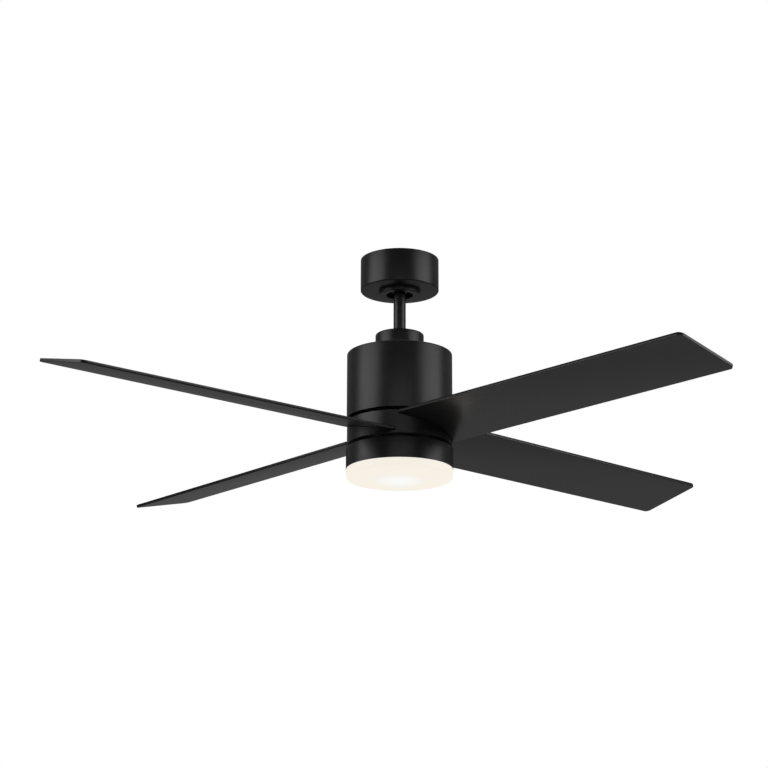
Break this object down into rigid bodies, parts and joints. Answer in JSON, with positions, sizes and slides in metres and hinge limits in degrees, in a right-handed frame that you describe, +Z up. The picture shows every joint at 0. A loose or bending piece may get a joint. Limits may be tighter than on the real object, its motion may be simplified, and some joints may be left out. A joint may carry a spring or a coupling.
{
  "type": "ceiling fan with light",
  "caption": "Matte black ceiling fan with four flat blades, a drum motor housing on a short downrod and a round opal LED light below.",
  "frame": {"origin": "middle of the canopy's rim and of the hanger bracket's top face, on the ceiling plane", "axes": "+Z up out of the ceiling face; the two outlet-box slots lie along X; the cradle's mouth faces -Y"},
  "size_m": [1.0536, 1.0536, 0.3736],
  "materials": {
    "matte_black": "matte powder coat",
    "black_blade": "matte black painted plywood",
    "zinc_steel": "zinc plated pressed steel",
    "black_steel": "black dipped pressed steel",
    "screw_steel": "plated",
    "shaft_steel": "ground",
    "core_steel": "laminated electrical steel",
    "cast_aluminium": "as cast",
    "copper_winding": "enamelled copper wire",
    "ball_plastic": "moulded gloss nylon",
    "receiver_plastic": "moulded",
    "capacitor_plastic": "moulded, potted",
    "connector_plastic": "moulded",
    "lead_insulation": "pvc insulation",
    "gasket_rubber": "matte",
    "white_steel": "white reflective paint",
    "led_yellow": "phosphor",
    "opal_lens": "frosted opal acrylic"
  },
  "bodies": {
    "ceiling": {"hanger_bracket": "black_steel", "canopy": "matte_black", "canopy_screws": "screw_steel", "canopy_ring": "matte_black", "receiver_box": "receiver_plastic", "wire_connectors": "connector_plastic", "supply_leads": "lead_insulation"},
    "hanging": {"hanger_ball": "ball_plastic", "hanger_pin": "screw_steel", "ball_set_screw": "screw_steel", "downrod": "matte_black", "yoke_cover": "matte_black", "motor_yoke": "zinc_steel", "clevis_pin": "screw_steel", "cotter_pin": "screw_steel", "yoke_set_screws": "screw_steel", "housing": "matte_black", "housing_screws": "screw_steel", "motor_shaft": "shaft_steel", "shaft_circlips": "shaft_steel", "stator_core": "core_steel", "stator_windings": "copper_winding", "internal_leads": "lead_insulation", "light_plate": "zinc_steel", "shaft_nut": "screw_steel", "light_ring": "matte_black", "light_ring_screws": "screw_steel", "led_driver": "receiver_plastic", "run_capacitor": "capacitor_plastic", "led_tray": "white_steel", "tray_screws": "screw_steel", "led_board": "white_steel", "led_chips": "led_yellow"},
    "rotor": {"rotor_upper_bell": "cast_aluminium", "rotor_ring": "core_steel", "rotor_lower_bell": "cast_aluminium", "upper_bearing": "shaft_steel", "lower_bearing": "shaft_steel", "bell_screws": "screw_steel", "blade_carrier": "cast_aluminium", "carrier_screws": "screw_steel", "rotor_band": "matte_black", "band_screws": "screw_steel", "blade_1": "black_blade", "blade_2": "black_blade", "blade_3": "black_blade", "blade_4": "black_blade", "blade_gaskets": "gasket_rubber", "blade_screws": "screw_steel"},
    "lens": {"lens": "opal_lens"}
  },
  "joints": [
    {"name": "hanger_swing", "type": "hinge", "parent": "ceiling", "child": "hanging", "pos_m": [0, 0, -0.038], "axis": [1, 0, 0], "range_deg": [-15, 15]},
    {"name": "rotor_spin", "type": "hinge", "parent": "hanging", "child": "rotor", "pos_m": [0, 0, -0.295], "axis": [0, 0, 1], "continuous": true},
    {"name": "lens_twist", "type": "hinge", "parent": "hanging", "child": "lens", "pos_m": [0, 0, -0.36], "axis": [0, 0, 1], "range_deg": [0, 20]}
  ]
}
